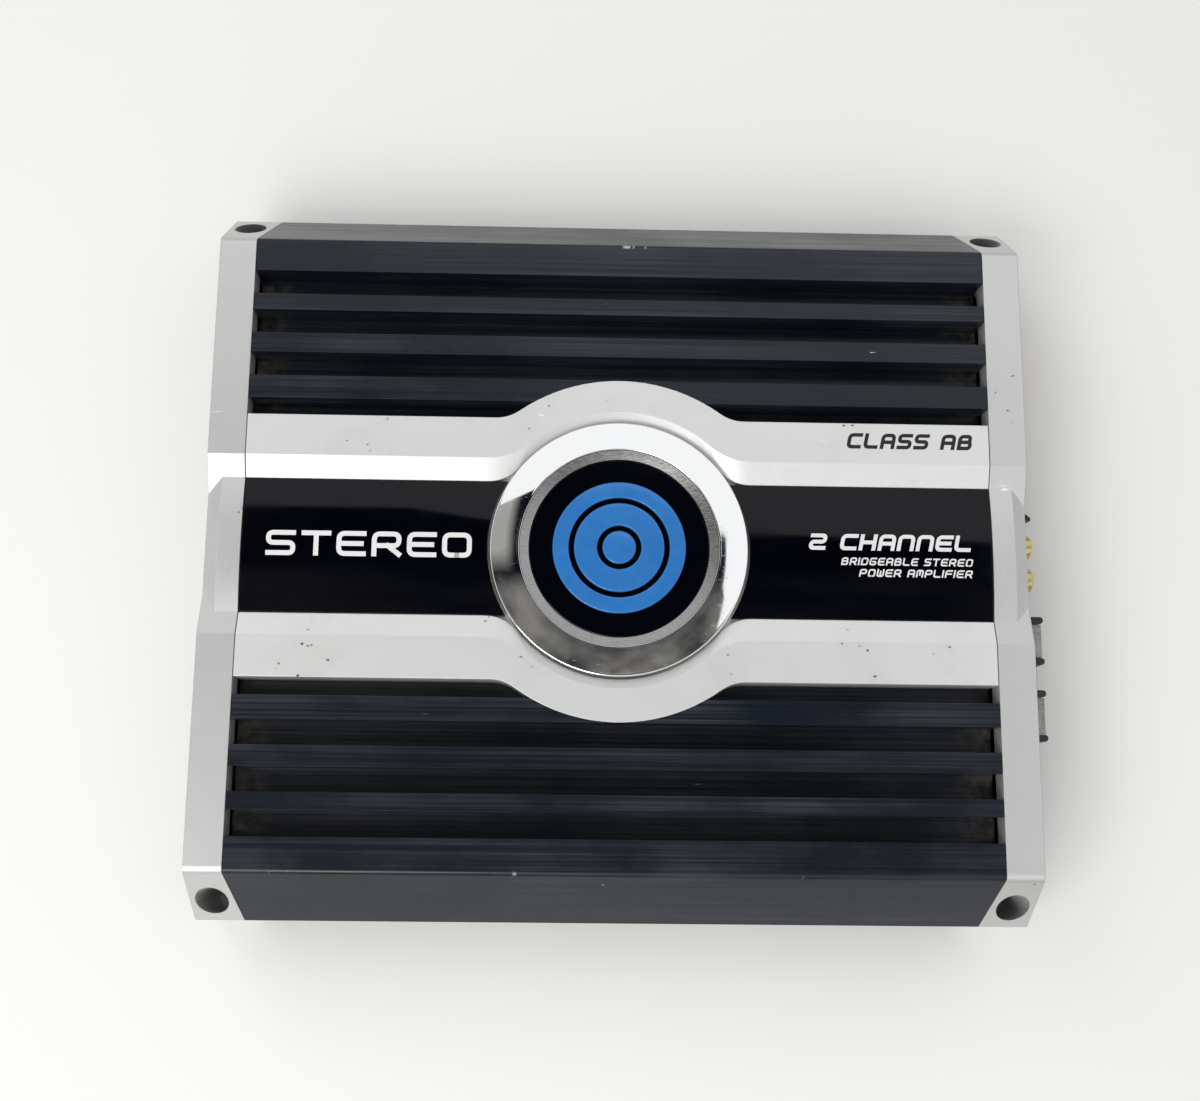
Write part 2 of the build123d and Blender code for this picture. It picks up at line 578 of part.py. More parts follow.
def make_fuse_body(y):
    """Plastic body of a blade fuse, with grip ledges."""
    length, width, height = FUSE_SIZE
    body = block((FUSE_X0, FUSE_X0 + length), (y - width / 2, y + width / 2),
                 (ROW_Z - height / 2, ROW_Z + height / 2))
    for sy in (-1, 1):
        side = y + sy * width / 2
        body -= block((FUSE_X0 + 1.5, FUSE_X0 + length - 2.5), (side - 0.7, side + 0.7), (ROW_Z - 6, ROW_Z + 6))
    for sz in (-1, 1):
        z = ROW_Z + sz * 6.0
        body -= block((FUSE_X0 - 1, FUSE_X0 + 4), (y - 0.42, y + 0.42), (z - 2.7, z + 2.7))
    return body


def make_fuse_blades(y):
    blades = []
    for sz in (-1, 1):
        z = ROW_Z + sz * 6.0
        blades.append(block((FUSE_X0 - 7.5, FUSE_X0 + 4 - TOUCH), (y - 0.37, y + 0.37), (z - 2.6, z + 2.6)))
    return solids_of(blades)


def make_connector_panel():
    """Steel panel in the end cap's pocket, cut out for every connector."""
    xs = (PANEL_FACE_X - PANEL_THICKNESS, PANEL_FACE_X - TOUCH)
    panel = block(xs, (-POCKET_Y + FIT, POCKET_Y - FIT), (POCKET_Z[0] + FIT, POCKET_Z[1] - FIT))
    through = (xs[0] - 1, xs[1] + 1)
    cuts = [
        ((POWER_WALLS[-1] - SEPARATOR / 2, POWER_WALLS[0] + SEPARATOR / 2), POWER_Z),
        ((SPEAKER_WALLS[-1] - SPEAKER_SEPARATOR / 2, SPEAKER_WALLS[0] + SPEAKER_SEPARATOR / 2), SPEAKER_Z),
        ((JACK_YS[0] - 6, JACK_YS[1] + 6), (ROW_Z - 7, ROW_Z + 7)),
        ((min(FUSE_YS.values()) - 4.6, max(FUSE_YS.values()) + 4.6), (BOARD_TOP_Z + 3, HOUSING_TOP_Z)),
        ((SWITCH_Y - 1.3, SWITCH_Y + 1.3), (ROW_Z - 4.6, ROW_Z + 4.6)),
    ]
    for ys, zs in cuts:
        panel -= block(through, (ys[0] - FIT, ys[1] + FIT), (zs[0] - FIT, zs[1] + FIT))
    for y in KNOBS.values():
        panel -= rod_x(y, ROW_Z, *through, SHAFT_R + FIT)
    for z in LAMP_ZS.values():
        panel -= rod_x(LAMP_Y, z, *through, LAMP_R + TOUCH)
    for y in PANEL_SCREW_YS:
        panel -= rod_x(y, PANEL_SCREW_Z, *through, SMALL_SCREW_R + TOUCH)
    return panel


def make_panel_screws():
    screw = pan_screw(SMALL_SCREW_R, 2.6, 1.9, 7.0)
    return solids_of([Pos(PANEL_FACE_X, y, PANEL_SCREW_Z) * Rot(0, 90, 0) * screw for y in PANEL_SCREW_YS])


# ---- Electronics ----
def make_circuit_board():
    half_y = HALF_DEPTH - SIDE_WALL - FIT
    half_x = SEAM_X - 2.0
    board = block((-half_x, half_x), (-half_y, half_y), (BOARD_Z, BOARD_TOP_Z))
    for x, y in mirrored_pairs(1, 1):
        board -= corner_wedge(x, y, -1.0)
    for x, y in BOARD_SCREWS:
        board -= rod_z(x, y, BOARD_Z - 1, BOARD_TOP_Z + 1, SMALL_SCREW_R + 0.3)
    return board


def make_insulating_sheet():
    top = CASE_FOOT_Z + 1.5
    return block((-124.0, 124.0), (-RAIL_Y + 1, RAIL_Y - 1), (top, top + 0.4))


def make_toroid_core():
    x, y = TOROID
    z0 = BOARD_TOP_Z + 2.4
    return rod_z(x, y, z0, z0 + 12, 18.0) - rod_z(x, y, z0 - 1, z0 + 13, 11.0)


def make_toroid_winding():
    """Wound copper cover around the core, open in the middle."""
    x, y = TOROID
    z0 = BOARD_TOP_Z + 2.4
    wall = 2.2
    outer = turned([
        (11.0 - wall, z0 - wall), (18.0 + wall, z0 - wall), (18.0 + wall, z0 + 12 + wall),
        (11.0 - wall, z0 + 12 + wall),
    ], x, y)
    core = turned([(11.0, z0), (18.0, z0), (18.0, z0 + 12), (11.0, z0 + 12)], x, y)
    return outer - core


def make_capacitors():
    cans = []
    for x, y in CAPACITORS:
        can = rod_z(x, y, BOARD_TOP_Z, BOARD_TOP_Z + CAPACITOR_H, CAPACITOR_R)
        can = fillet(can.faces().sort_by(Axis.Z)[-1].edges(), 1.0)
        groove = turned([(7.4, 14.5), (9.0, 14.5), (9.0, 16.0), (7.4, 15.6)], x, y)
        cans.append(can - groove)
    return solids_of(cans)


def make_inductors():
    coils = []
    for x, y in INDUCTORS:
        coils.append(turned([(4.0, BOARD_TOP_Z), (10.0, BOARD_TOP_Z), (10.0, BOARD_TOP_Z + 9),
                             (4.0, BOARD_TOP_Z + 9)], x, y))
    return solids_of(coils)


def make_transistors():
    """Two rows of power transistors standing against the side walls."""
    wall_y = HALF_DEPTH - SIDE_WALL - 0.4 - TOUCH
    parts = []
    for sy in (-1, 1):
        for x in TRANSISTOR_XS:
            ys = sorted((sy * wall_y, sy * (wall_y - 4.4)))
            body = block((x - 5, x + 5), ys, (13.0, 26.0))
            for lead in (-2.5, 0, 2.5):
                lead_ys = sorted((sy * (wall_y - 2.0), sy * (wall_y - 2.6)))
                body += block((x + lead - 0.4, x + lead + 0.4), lead_ys, (BOARD_TOP_Z, 13.5))
            parts.append(body)
    return solids_of(parts)


def make_transistor_insulators():
    strips = []
    for sy in (-1, 1):
        wall_y = HALF_DEPTH - SIDE_WALL
        strip = block((-112.0, 122.0), sorted((sy * wall_y, sy * (wall_y - 0.4))), (12.0, 26.8))
        for x in CLAMP_SCREW_XS:
            strip -= rod_y(x, CLAMP_Z, -HALF_DEPTH, HALF_DEPTH, SMALL_SCREW_R + 0.3)
        strips.append(strip)
    return solids_of(strips)


def clamp_bar_face():
    """Distance from the centre to the side of the bar that faces the transistors."""
    return HALF_DEPTH - SIDE_WALL - 0.4 - 4.4 - 2 * TOUCH


def make_clamp_bars():
    bars = []
    for sy in (-1, 1):
        face = clamp_bar_face()
        bar = block((-112.0, 122.0), sorted((sy * face, sy * (face - 3.0))), (CLAMP_Z - 4, CLAMP_Z + 4))
        for x in CLAMP_SCREW_XS:
            bar -= rod_y(x, CLAMP_Z, -HALF_DEPTH, HALF_DEPTH, SMALL_SCREW_R + 0.2)
        bars.append(bar)
    return solids_of(bars)


def make_clamp_screws():
    screw = pan_screw(SMALL_SCREW_R, 2.5, 1.7, 10.8)
    face = clamp_bar_face() - 3.0
    return solids_of([
        Pos(x, sy * face, CLAMP_Z) * Rot(sy * 90, 0, 0) * screw for sy in (-1, 1) for x in CLAMP_SCREW_XS
    ])


def make_chips():
    return solids_of([
        Pos(x, y, BOARD_TOP_Z + 1.7) * Rot(0, 0, angle) * Box(19.0, 6.4, 3.4) for x, y, angle in CHIPS
    ])


# ---- Assembly ----
def build_nodes():
    """Every node's shape by name."""
    nodes = {
        "heatsink": make_heatsink(),
        "left_end_cap": make_end_cap(-1, window=False),
        "right_end_cap": make_end_cap(1, window=True),
        "trim_cover": make_trim_cover(),
        "gloss_panel_left": make_gloss_panel(-1),
        "gloss_panel_right": make_gloss_panel(1),
        "chrome_ring": make_chrome_ring(),
        "badge_carrier": make_badge_carrier(),
        "badge_disc": make_badge_disc(),
        "badge_emblem": make_badge_emblem(),
        "bottom_plate": make_bottom_plate(),
        "bottom_plate_screws": make_plate_screws(),
        "end_cap_screws": make_end_screws(),
        "trim_screws": make_trim_screws(),
        "connector_panel": make_connector_panel(),
        "panel_screws": make_panel_screws(),
        "rca_block": make_rca_block(),
        "rca_shells": make_rca_shells(),
        "rca_contacts": make_rca_contacts(),
        "power_block": make_terminal_strip(POWER_WALLS, SEPARATOR, POWER_Z, POWER_TIP_X),
        "speaker_block": make_terminal_strip(SPEAKER_WALLS, SPEAKER_SEPARATOR, SPEAKER_Z, SPEAKER_TIP_X),
        "fuse_holder": make_fuse_holder(),
        "potentiometers": make_potentiometers(),
        "switch_body": make_switch_body(),
        "switch_lever": make_switch_lever(),
        "circuit_board": make_circuit_board(),
        "insulating_sheet": make_insulating_sheet(),
        "toroid_core": make_toroid_core(),
        "toroid_winding": make_toroid_winding(),
        "supply_capacitors": make_capacitors(),
        "output_inductors": make_inductors(),
        "power_transistors": make_transistors(),
        "transistor_insulators": make_transistor_insulators(),
        "transistor_clamp_bars": make_clamp_bars(),
        "clamp_bar_screws": make_clamp_screws(),
        "board_screws": make_board_screws(),
        "control_chips": make_chips(),
    }
    for name, y in KNOBS.items():
        nodes[name] = make_knob(y)
    for name, z in LAMP_ZS.items():
        nodes[name] = make_lamp(z)
    for name, y in FUSE_YS.items():
        nodes[f"fuse_{name}"] = make_fuse_body(y)
        nodes[f"fuse_{name}_blades"] = make_fuse_blades(y)
    for name, a, b in zip(POWER_NAMES, POWER_WALLS, POWER_WALLS[1:]):
        depth = 9.8 if abs(a - b) > 11.5 else 7.5
        nodes[f"{name}_clamp"] = make_clamp(a, b, SEPARATOR, POWER_Z, depth)
        nodes[f"{name}_screw"] = make_terminal_screw(a, b, SEPARATOR, POWER_Z)
    for name, a, b in zip(SPEAKER_NAMES, SPEAKER_WALLS, SPEAKER_WALLS[1:]):
        nodes[f"{name}_clamp"] = make_clamp(a, b, SPEAKER_SEPARATOR, SPEAKER_Z, 5.0)
        nodes[f"{name}_screw"] = make_terminal_screw(a, b, SPEAKER_SEPARATOR, SPEAKER_Z)
    return nodes


os.makedirs("parts", exist_ok=True)
for node, shape in build_nodes().items():
    export_step(shape, f"parts/{node}.step")
    print(node)
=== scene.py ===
import math

import bpy
import numpy as np
from mathutils import Euler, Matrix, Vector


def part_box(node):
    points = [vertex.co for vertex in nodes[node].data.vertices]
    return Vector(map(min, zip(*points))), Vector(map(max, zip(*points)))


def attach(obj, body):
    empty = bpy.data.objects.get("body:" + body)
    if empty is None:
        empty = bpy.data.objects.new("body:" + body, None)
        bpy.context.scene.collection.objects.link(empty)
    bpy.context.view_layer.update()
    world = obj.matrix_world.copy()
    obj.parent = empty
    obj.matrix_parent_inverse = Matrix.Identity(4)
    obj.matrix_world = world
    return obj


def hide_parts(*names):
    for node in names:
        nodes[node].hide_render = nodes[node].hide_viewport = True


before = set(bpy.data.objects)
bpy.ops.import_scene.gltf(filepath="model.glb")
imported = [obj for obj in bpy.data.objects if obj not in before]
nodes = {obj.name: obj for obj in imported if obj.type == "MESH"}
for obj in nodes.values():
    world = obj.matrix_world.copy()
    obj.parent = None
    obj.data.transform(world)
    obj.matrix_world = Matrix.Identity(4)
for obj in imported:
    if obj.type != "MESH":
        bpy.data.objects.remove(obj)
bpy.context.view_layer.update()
mm = 0.001
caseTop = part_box("heatsink")[1].z      # height of the fin tops
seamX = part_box("heatsink")[1].x        # joint between the extrusion and the end caps
print("frame loaded:", len(nodes), "CAD nodes")


# meshes worked out as whole arrays
def gridFaces(rows, cols, wrapRows=False, wrapCols=False):
    # quad (i, j), (i+1, j), (i+1, j+1), (i, j+1) of a rows x cols grid of points
    i = np.arange(rows if wrapRows else rows - 1)[:, None]
    j = np.arange(cols if wrapCols else cols - 1)[None, :]
    iNext, jNext = (i + 1) % rows, (j + 1) % cols
    corners = [i * cols + j, iNext * cols + j, iNext * cols + jNext, i * cols + jNext]
    return np.stack([np.broadcast_to(c, (len(i), j.shape[1])) for c in corners], -1).reshape(-1, 4)


def meshPiece(name, points, faces, smooth=True):
    mesh = bpy.data.meshes.new(name)
    mesh.from_pydata(points.reshape(-1, 3).tolist(), [], faces if isinstance(faces, list) else faces.tolist())
    mesh.validate()
    mesh.polygons.foreach_set("use_smooth", np.full(len(mesh.polygons), smooth))
    mesh.update()
    piece = bpy.data.objects.new(name, mesh)
    bpy.context.scene.collection.objects.link(piece)
    return piece


def lathe(name, outline, steps=192):
    # closed ring of revolution: outline (radius, height) turned about the vertical axis,
    # point = (r cos a, r sin a, height), with a going once round in equal steps
    outline = np.asarray(outline, float)
    angle = np.linspace(0, 2 * math.pi, steps, endpoint=False)
    radius, height = outline[:, 0][:, None], outline[:, 1][:, None]
    x = radius * np.cos(angle)
    y = radius * np.sin(angle)
    points = np.stack([x, y, np.broadcast_to(height, x.shape)], -1)
    faces = gridFaces(len(outline), steps, wrapRows=True, wrapCols=True)
    return meshPiece(name, points, faces[:, ::-1])


def arcPoints(centre, radius, start, end, count):
    # points on an arc, angles in degrees
    a = np.radians(np.linspace(start, end, count))
    return np.stack([centre[0] + radius * np.cos(a), centre[1] + radius * np.sin(a)], -1)


# material building blocks
class Finish:
    def __init__(self, name):
        self.material = bpy.data.materials.new(name)
        self.material.use_nodes = True
        self.tree = self.material.node_tree
        self.shader = self.tree.nodes["Principled BSDF"]
        self.place = self.tree.nodes.new("ShaderNodeTexCoord").outputs["Object"]

    def link(self, source, target):
        self.tree.links.new(source, target)

    def put(self, socket, value):
        # constant or link, set on the shader's own socket
        target = self.shader.inputs[socket]
        if isinstance(value, bpy.types.NodeSocket):
            self.link(value, target)
        else:
            target.default_value = (*value, 1.0) if isinstance(value, tuple) and len(value) == 3 else value

    def stretch(self, scale, turn=(0, 0, 0)):
        node = self.tree.nodes.new("ShaderNodeMapping")
        node.inputs["Scale"].default_value = scale
        node.inputs["Rotation"].default_value = turn
        self.link(self.place, node.inputs["Vector"])
        return node.outputs["Vector"]

    def noise(self, vector, scale=1.0, detail=3.0, rough=0.5, distort=0.0):
        node = self.tree.nodes.new("ShaderNodeTexNoise")
        self.link(vector, node.inputs["Vector"])
        node.inputs["Scale"].default_value = scale
        node.inputs["Detail"].default_value = detail
        node.inputs["Roughness"].default_value = rough
        node.inputs["Distortion"].default_value = distort
        return node.outputs["Fac"]

    def cells(self, vector):
        node = self.tree.nodes.new("ShaderNodeTexVoronoi")
        self.link(vector, node.inputs["Vector"])
        node.inputs["Scale"].default_value = 1.0
        return node.outputs["Distance"]

    def span(self, value, low, high, outLow=0.0, outHigh=1.0):
        node = self.tree.nodes.new("ShaderNodeMapRange")
        self.link(value, node.inputs["Value"])
        for socket, number in zip(("From Min", "From Max", "To Min", "To Max"), (low, high, outLow, outHigh)):
            node.inputs[socket].default_value = number
        return node.outputs["Result"]

    def maths(self, operation, a, b):
        node = self.tree.nodes.new("ShaderNodeMath")
        node.operation = operation
        for socket, value in zip(node.inputs[:2], (a, b)):
            if isinstance(value, bpy.types.NodeSocket):
                self.link(value, socket)
            else:
                socket.default_value = value
        return node.outputs["Value"]

    def axis(self, letter):
        node = self.tree.nodes.new("ShaderNodeSeparateXYZ")
        self.link(self.place, node.inputs["Vector"])
        return node.outputs[letter]

    def blend(self, factor, a, b):
        node = self.tree.nodes.new("ShaderNodeMix")
        node.data_type = "RGBA"
        self.link(factor, node.inputs[0])
        for socket, value in ((node.inputs[6], a), (node.inputs[7], b)):
            if isinstance(value, bpy.types.NodeSocket):
                self.link(value, socket)
            else:
                socket.default_value = (*value, 1.0)
        return node.outputs[2]

    def relief(self, height, distance, strength=1.0, edge=0.0):
        # bump on top of softened edges, so every corner catches a thin highlight
        node = self.tree.nodes.new("ShaderNodeBump")
        node.inputs["Strength"].default_value = strength
        node.inputs["Distance"].default_value = distance
        self.link(height, node.inputs["Height"])
        if edge:
            bevel = self.tree.nodes.new("ShaderNodeBevel")
            bevel.samples = 4
            bevel.inputs["Radius"].default_value = edge
            self.link(bevel.outputs["Normal"], node.inputs["Normal"])
        self.link(node.outputs["Normal"], self.shader.inputs["Normal"])


def dress(material, *names):
    # gives carried-over CAD nodes their finish
    for name in names:
        mesh = nodes[name].data
        mesh.materials.clear()
        mesh.materials.append(material)


def place(piece, material, slot, hides=()):
    # every new piece is part of the case
    piece.data.materials.clear()
    piece.data.materials.append(material)
    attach(piece, "case")
    if hides:
        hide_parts(*hides)
    return piece


# camera, floor and light
view = {
    "eye": (-19.0 * mm, -102.5 * mm, 569.5 * mm),
    "turn": (11.143, -1.493, 0.565),       # degrees about X, Y, Z
    "lens": 45.67,
    "sensor": 36.0,
}


def makeCamera(v):
    data = bpy.data.cameras.new("camera")
    data.lens = v["lens"]
    data.sensor_width = v["sensor"]
    data.clip_start = 0.01
    camera = bpy.data.objects.new("camera", data)
    bpy.context.scene.collection.objects.link(camera)
    camera.location = v["eye"]
    camera.rotation_euler = Euler([math.radians(a) for a in v["turn"]], "XYZ")
    bpy.context.scene.camera = camera


studio = {
    "floorSize": 30.0,
    "floorColour": (0.716, 0.706, 0.678),
    "skyHigh": (0.97, 0.98, 1.0),
    "skyLow": (0.24, 0.245, 0.25),
    "skyStrength": 1.0,
    "skyFade": (0.1, 0.62),                # height of the dim and of the bright part, 1 is straight up
    "keyPower": 9.2,
    "keySize": (0.9, 0.5),
    "keyPlace": (-0.52, -0.74, 1.08),
    "fillPower": 3.5,
    "fillSize": (0.7, 0.7),
    "fillPlace": (-0.9, 0.95, 1.2),
    # outline and height of the dark card that bright metal reflects
    "card": ((-0.56, -0.29), (0.37, -0.29), (0.365, -0.01), (0.345, 0.03), (0.35, 0.19), (0.02, 0.23),
             (-0.09, 0.27), (-0.15, 0.32), (-0.56, 0.31)),
    "cardHeight": 0.75,
    "cardDeep": (0.003, 0.004, 0.008),
    "cardDark": (0.022, 0.025, 0.030),
    "cardGrey": (0.225, 0.215, 0.200),
    "cardPale": (0.36, 0.36, 0.35),
    # a second card lies on the floor in front, to the right, and dims the corner that faces it
    "lowCard": ((0.03, -0.27), (0.62, -0.27), (0.62, -1.30), (0.03, -1.30)),
    "lowCardHeight": 0.004,
    "lowCardGrey": (0.10, 0.10, 0.095),
}


def areaLight(name, power, size, spot, glossy=True):
    data = bpy.data.lights.new(name, "AREA")
    data.shape = "RECTANGLE"
    data.size, data.size_y = size
    data.energy = power
    light = bpy.data.objects.new(name, data)
    bpy.context.scene.collection.objects.link(light)
    light.location = spot
    light.visible_glossy = glossy
    # turned so that it looks at the middle of the case
    pitch = math.atan2(math.hypot(spot[0], spot[1]), spot[2])
    light.rotation_euler = Euler((pitch, 0, math.atan2(spot[0], -spot[1])), "XYZ")


def makeWorld(s):
    world = bpy.data.worlds.new("studio")
    world.use_nodes = True
    tree = world.node_tree
    place = tree.nodes.new("ShaderNodeTexCoord")
    split = tree.nodes.new("ShaderNodeSeparateXYZ")
    ramp = tree.nodes.new("ShaderNodeMapRange")
    mix = tree.nodes.new("ShaderNodeMix")
    mix.data_type = "RGBA"
    tree.links.new(place.outputs["Generated"], split.inputs["Vector"])
    tree.links.new(split.outputs["Z"], ramp.inputs["Value"])
    ramp.inputs["From Min"].default_value, ramp.inputs["From Max"].default_value = s["skyFade"]
    tree.links.new(ramp.outputs["Result"], mix.inputs[0])
    mix.inputs[6].default_value = (*s["skyLow"], 1.0)
    mix.inputs[7].default_value = (*s["skyHigh"], 1.0)
    background = tree.nodes["Background"]
    tree.links.new(mix.outputs[2], background.inputs["Color"])
    background.inputs["Strength"].default_value = s["skyStrength"]
    bpy.context.scene.world = world


def makeCard(name, corners, height, felt):
    # seen in reflections only: no shadow, no light on matt surfaces
    outline = np.array([(x, y, height) for x, y in corners])
    card = meshPiece(name, outline, np.arange(len(outline))[None, ::-1], smooth=False)
    card.data.materials.append(felt.material)
    card.visible_camera = False
    card.visible_diffuse = False
    card.visible_shadow = False
    card.visible_transmission = False


def makeStudio(s):
    half = s["floorSize"] / 2
    corners = np.array([[-half, -half, 0], [half, -half, 0], [half, half, 0], [-half, half, 0]])
    floor = meshPiece("floor", corners, np.array([[0, 1, 2, 3]]), smooth=False)
    paper = Finish("paper")
    paper.put("Base Color", s["floorColour"])
    paper.put("Roughness", 0.8)
    floor.data.materials.append(paper.material)
    felt = Finish("felt")
    felt.put("Base Color", (0.0, 0.0, 0.0))
    felt.put("Specular IOR Level", 0.0)
    mottle = felt.span(felt.noise(felt.place, 5.5, 3.0, 0.6), 0.36, 0.66)
    shade = felt.blend(mottle, s["cardDark"], s["cardGrey"])
    # the back of the card, which the glossy inserts reflect, is nearly black; its far left is paler
    shade = felt.blend(felt.span(felt.axis("Y"), 0.0, 0.07), shade, s["cardDeep"])
    farLeft = felt.span(felt.axis("X"), -0.275, -0.335)
    farLeft = felt.maths("MULTIPLY", farLeft, felt.span(felt.axis("Y"), 0.06, 0.14))
    felt.put("Emission Color", felt.blend(farLeft, shade, s["cardPale"]))
    felt.put("Emission Strength", 1.0)
    makeCard("card", s["card"], s["cardHeight"], felt)
    lowFelt = Finish("lowFelt")
    lowFelt.put("Base Color", (0.0, 0.0, 0.0))
    lowFelt.put("Specular IOR Level", 0.0)
    lowFelt.put("Emission Color", s["lowCardGrey"])
    lowFelt.put("Emission Strength", 1.0)
    makeCard("lowCard", s["lowCard"], s["lowCardHeight"], lowFelt)
    makeWorld(s)
    areaLight("keyLight", s["keyPower"], s["keySize"], s["keyPlace"])
    areaLight("fillLight", s["fillPower"], s["fillSize"], s["fillPlace"], glossy=False)
    bpy.context.scene.view_settings.view_transform = "Standard"


makeCamera(view)
makeStudio(studio)
print("camera, floor and light ready")


# case finishes
anodised = {
    "base": (0.0050, 0.0072, 0.0125),
    "streak": (0.034, 0.041, 0.050),
    "dust": (0.10, 0.082, 0.060),
    "scratch": (0.50, 0.51, 0.51),
    "rough": (0.20, 0.36),
    "edge": 0.35 * mm,
    "grooves": (50.0 * mm, 98.5 * mm),     # distances from the middle line between which the grooves lie
    "grooveDepth": 11.5 * mm,
    "dustReach": 14.0 * mm,                # how far from an end cap the dust lies
    "crease": 110.2 * mm,                  # distance of the shoulder's crease from the middle line
    "creaseRub": 0.9 * mm,
}


def makeAnodised(v):
    f = Finish("blackAnodised")
    brushed = f.noise(f.stretch((6, 1100, 1100)), 1.0, 4.0, 0.65)
    patches = f.noise(f.stretch((16, 30, 30)), 1.0, 4.0, 0.6)
    streaks = f.maths("MULTIPLY", f.span(brushed, 0.40, 0.72), f.span(patches, 0.38, 0.68))
    colour = f.blend(streaks, v["base"], v["streak"])
    # dust lies on the groove floors, mostly against the end caps
    away = f.maths("ABSOLUTE", f.axis("Y"), 0.0)
    first, last = v["grooves"]
    inGrooves = f.maths("MULTIPLY", f.span(away, last, last - 2 * mm), f.span(away, first, first + 2 * mm))
    depth = f.span(f.axis("Z"), caseTop - v["grooveDepth"], caseTop - 2 * mm, 1.0, 0.0)
    ends = f.span(f.maths("ABSOLUTE", f.axis("X"), 0.0), seamX - v["dustReach"], seamX - 1 * mm)
    grime = f.span(f.noise(f.place, 190, 5.0, 0.7), 0.42, 0.66)
    dust = f.maths("MULTIPLY", f.maths("MULTIPLY", depth, ends), f.maths("MULTIPLY", grime, inGrooves))
    colour = f.blend(dust, colour, v["dust"])
    # scratches: thin crests of a stretched noise, kept only in scattered patches
    crest = f.noise(f.stretch((34, 700, 420), (0, 0, 0.12)), 1.0, 2.0, 0.5, 0.4)
    broken = f.span(f.noise(f.place, 70, 3.0, 0.6), 0.63, 0.67)
    scratch = f.maths("MULTIPLY", f.span(crest, 0.72, 0.75), broken)
    # the long crease of the shoulder is rubbed bright in short dashes
    fromCrease = f.maths("ABSOLUTE", f.maths("SUBTRACT", away, v["crease"]), 0.0)
    crease = f.span(fromCrease, v["creaseRub"], 0.2 * mm)
    dashes = f.span(f.noise(f.stretch((130, 40, 40)), 1.0, 3.0, 0.65), 0.66, 0.72, 0.0, 0.8)
    rubbed = f.maths("MULTIPLY", crease, dashes)
    colour = f.blend(f.maths("MAXIMUM", scratch, rubbed), colour, v["scratch"])
    f.put("Base Color", colour)
    uneven = f.span(patches, 0.4, 0.7, -0.04, 0.1)
    f.put("Roughness", f.maths("ADD", f.span(brushed, 0.3, 0.7, *v["rough"]), uneven))
    f.put("Specular IOR Level", 0.36)
    f.relief(brushed, 0.03 * mm, 0.5, v["edge"])
    return f.material


paint = {
    "base": (0.64, 0.645, 0.625),
    "fleck": (0.75, 0.755, 0.735),
    "scuff": (0.92, 0.92, 0.91),
    "chip": (0.06, 0.055, 0.05),
    "stain": (0.50, 0.49, 0.46),
    # near black given to the skirt where it dips into the groove, so that it reads as part of the dark groove
    "bare": (0.010, 0.011, 0.013),
    "skirt": 56.2 * mm,                    # beyond this distance from the middle line the skirt is darkened to near black
    "metal": 0.45,
    "rough": (0.36, 0.48),
    "edge": 0.5 * mm,
}


capPaint = dict(paint, base=(0.53, 0.535, 0.52), fleck=(0.64, 0.645, 0.63), metal=0.6, skirt=None)


def makePaint(name, v):
    f = Finish(name)
    fleck = f.span(f.noise(f.place, 4200, 2.0, 0.6), 0.38, 0.66)
    colour = f.blend(fleck, v["base"], v["fleck"])
    stain = f.span(f.noise(f.place, 42, 5.0, 0.65), 0.50, 0.72, 0.0, 0.22)
    colour = f.blend(stain, colour, v["stain"])
    crest = f.noise(f.stretch((60, 330, 330), (0, 0, 0.5)), 1.0, 2.0, 0.5, 0.8)
    broken = f.span(f.noise(f.place, 46, 2.0, 0.5), 0.57, 0.64)
    colour = f.blend(f.maths("MULTIPLY", f.span(crest, 0.72, 0.75), broken), colour, v["scuff"])
    # ragged chips down to dark primer
    ragged = f.span(f.noise(f.place, 1700, 3.0, 0.6), 0.3, 0.7, -0.08, 0.10)
    specks = f.span(f.maths("ADD", f.cells(f.stretch((250, 330, 330), (0, 0, 0.4))), ragged), 0.17, 0.09)
    sparse = f.span(f.noise(f.place, 42, 3.0, 0.6), 0.56, 0.62)
    colour = f.blend(f.maths("MULTIPLY", specks, sparse), colour, v["chip"])
    if v["skirt"]:
        # the skirt of the round middle is made near black where it dips into the second groove, like the dark
        # groove around it
        low = f.span(f.axis("Z"), caseTop - 1.4 * mm, caseTop - 0.6 * mm, 1.0, 0.0)
        outer = f.span(f.maths("ABSOLUTE", f.axis("Y"), 0.0), v["skirt"], v["skirt"] + 1 * mm)
        colour = f.blend(f.maths("MULTIPLY", low, outer), colour, v["bare"])
    f.put("Base Color", colour)
    f.put("Metallic", v["metal"])
    f.put("Roughness", f.span(fleck, 0.0, 1.0, *v["rough"]))
    f.relief(fleck, 0.01 * mm, 0.35, v["edge"])
    return f.material


gloss = {"base": (0.0006, 0.0009, 0.0024), "smear": (0.05, 0.13), "edge": 0.35 * mm, "shine": 0.26}


def makeGloss(name, v):
    f = Finish(name)
    f.put("Base Color", v["base"])
    f.put("Specular IOR Level", v["shine"])
    smear = f.noise(f.stretch((26, 60, 60), (0, 0, 0.3)), 1.0, 5.0, 0.65)
    f.put("Roughness", f.span(smear, 0.35, 0.7, *v["smear"]))
    f.relief(f.noise(f.place, 75, 2.0, 0.5), 0.02 * mm, 0.25, v["edge"])
    return f.material


def plainFinish(name, base, rough, metal=0.0, grain=900, spread=0.12, tint=0.25, edge=0.25, depth=0.02):
    # one finish with a fine grain in colour, roughness and relief
    f = Finish(name)
    fine = f.noise(f.place, grain, 3.0, 0.6)
    broad = f.noise(f.place, grain / 18, 3.0, 0.6)
    dark = tuple(c * (1 - tint) for c in base)
    f.put("Base Color", f.blend(f.span(f.maths("ADD", fine, broad), 0.7, 1.3), dark, base))
    f.put("Metallic", metal)
    f.put("Roughness", f.span(fine, 0.3, 0.7, max(rough - spread / 2, 0.02), rough + spread / 2))
    f.relief(fine, depth * mm, 0.5, edge * mm)
    return f.material


